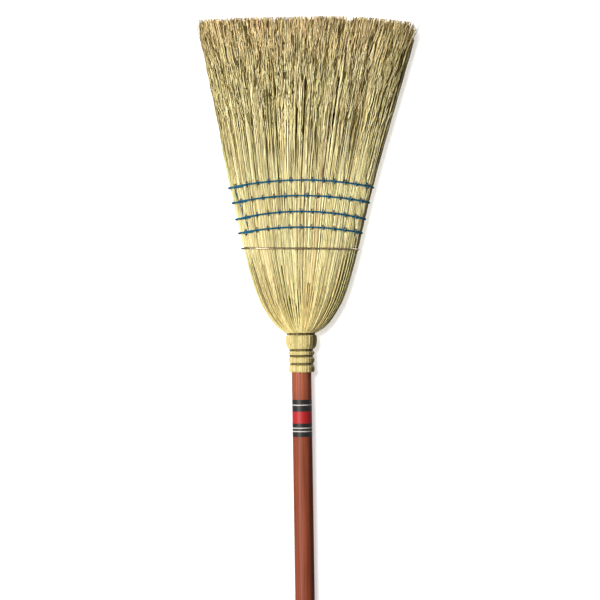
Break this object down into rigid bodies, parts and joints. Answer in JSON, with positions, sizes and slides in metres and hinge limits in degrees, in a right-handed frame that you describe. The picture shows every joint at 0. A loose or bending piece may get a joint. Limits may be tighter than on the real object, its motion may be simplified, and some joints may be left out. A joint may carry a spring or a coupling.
{
  "type": "corn broom",
  "caption": "Flat wire-bound corn broom with a round lacquered wooden handle, twine-sewn head and shoulder hoop, for sweeping floors.",
  "frame": {"origin": "middle of the flat on the handle's free end", "axes": "+Z along the handle to the sweep edge, +X across the head's width to the side with the worn corner, -Y out of the front face"},
  "size_m": [0.28, 0.0674, 1.4224],
  "materials": {
    "lacquered_wood": "brick-red lacquer, semi-gloss",
    "label_film": "printed film, satin",
    "broom_corn": "dry natural straw, matt",
    "binding_wire": "dull drawn wire",
    "hoop_wire": "bright drawn wire",
    "sewing_twine": "twisted twine, matt"
  },
  "bodies": {
    "root": {"handle": "lacquered_wood", "handle_label": "label_film", "front_hurl": "broom_corn", "back_hurl": "broom_corn", "left_shoulder_corn": "broom_corn", "right_shoulder_corn": "broom_corn", "inside_corn": "broom_corn", "crown_winding_wire": "binding_wire", "core_winding_wire": "binding_wire", "shoulder_winding_wire": "binding_wire", "wire_brads": "binding_wire", "shoulder_hoop_wire": "hoop_wire", "stitch_band_1": "sewing_twine", "stitch_band_2": "sewing_twine", "stitch_band_3": "sewing_twine", "stitch_band_4": "sewing_twine", "stitch_lacing_1": "sewing_twine", "stitch_lacing_2": "sewing_twine", "stitch_lacing_3": "sewing_twine", "stitch_lacing_4": "sewing_twine"}
  },
  "joints": []
}
